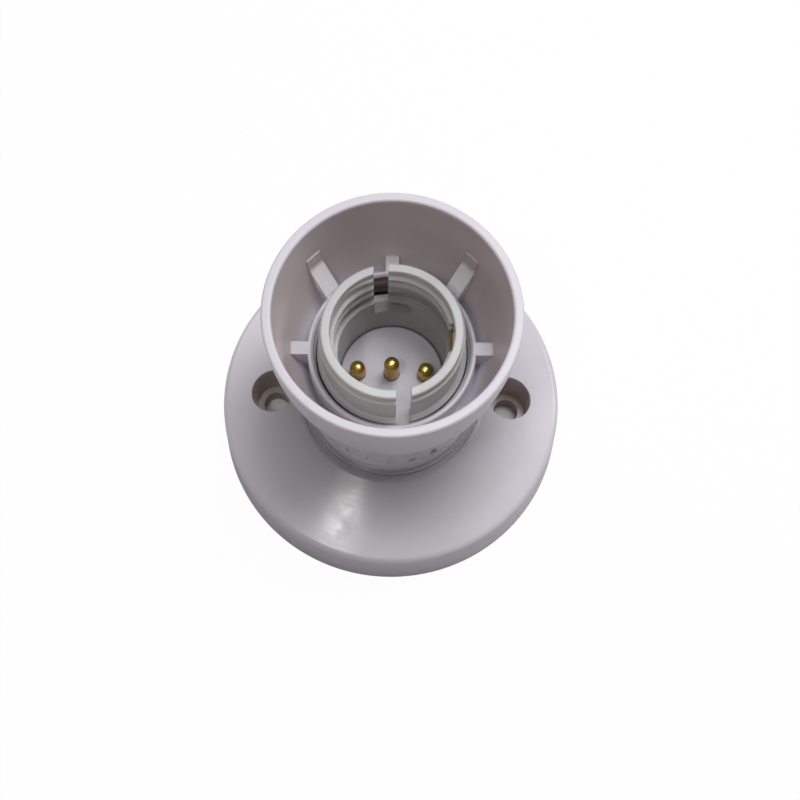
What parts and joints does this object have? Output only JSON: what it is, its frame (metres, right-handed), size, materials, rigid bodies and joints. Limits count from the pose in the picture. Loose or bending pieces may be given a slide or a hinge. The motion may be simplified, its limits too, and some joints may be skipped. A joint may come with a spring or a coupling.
{
  "type": "batten lamp holder",
  "caption": "Surface-mounted lamp holder with a round base, a flared white skirt and a barrel that takes bayonet and screw caps.",
  "frame": {"origin": "centre of the base's mounting face", "axes": "+Z out of the mounting face along the lamp's axis, +X through the right-hand fixing hole, -Y to the front of the picture"},
  "size_m": [0.0858, 0.0858, 0.072],
  "materials": {
    "housing_plastic": "glossy",
    "barrel_plastic": "glossy",
    "block_plastic": "satin",
    "fibre_board": "matte",
    "brass": "satin",
    "steel": "satin"
  },
  "bodies": {
    "holder": {"base": "housing_plastic", "barrel": "barrel_plastic", "contact_block": "block_plastic", "retaining_plate": "fibre_board", "left_terminal": "brass", "right_terminal": "brass", "centre_socket": "brass", "centre_link": "brass", "left_spring": "steel", "right_spring": "steel", "centre_spring": "steel", "terminal_screws": "steel", "plate_screws": "steel", "barrel_screws": "steel"},
    "skirt": {"skirt": "housing_plastic"},
    "left_plunger": {"left_plunger": "brass"},
    "right_plunger": {"right_plunger": "brass"},
    "centre_plunger": {"centre_plunger": "brass"},
    "side_contact": {"side_contact": "brass"}
  },
  "joints": [
    {"name": "skirt_lift", "type": "slide", "parent": "holder", "child": "skirt", "axis": [0, 0, 1], "range_m": [0, 0.042]},
    {"name": "left_plunger_travel", "type": "slide", "parent": "holder", "child": "left_plunger", "axis": [0, 0, -1], "range_m": [0, 0.003], "stiffness_N_per_m": 800, "springref_m": -0.003, "deforming": ["left_spring"]},
    {"name": "right_plunger_travel", "type": "slide", "parent": "holder", "child": "right_plunger", "axis": [0, 0, -1], "range_m": [0, 0.003], "stiffness_N_per_m": 800, "springref_m": -0.003, "deforming": ["right_spring"]},
    {"name": "centre_plunger_travel", "type": "slide", "parent": "holder", "child": "centre_plunger", "axis": [0, 0, -1], "range_m": [0, 0.0035], "stiffness_N_per_m": 800, "springref_m": -0.003, "deforming": ["centre_spring"]},
    {"name": "side_contact_flex", "type": "hinge", "parent": "holder", "child": "side_contact", "pos_m": [0.012, 0, 0.01525], "axis": [0, 1, 0], "range_deg": [0, 0.9], "stiffness_Nm_per_rad": 2, "springref_deg": -0.57}
  ]
}
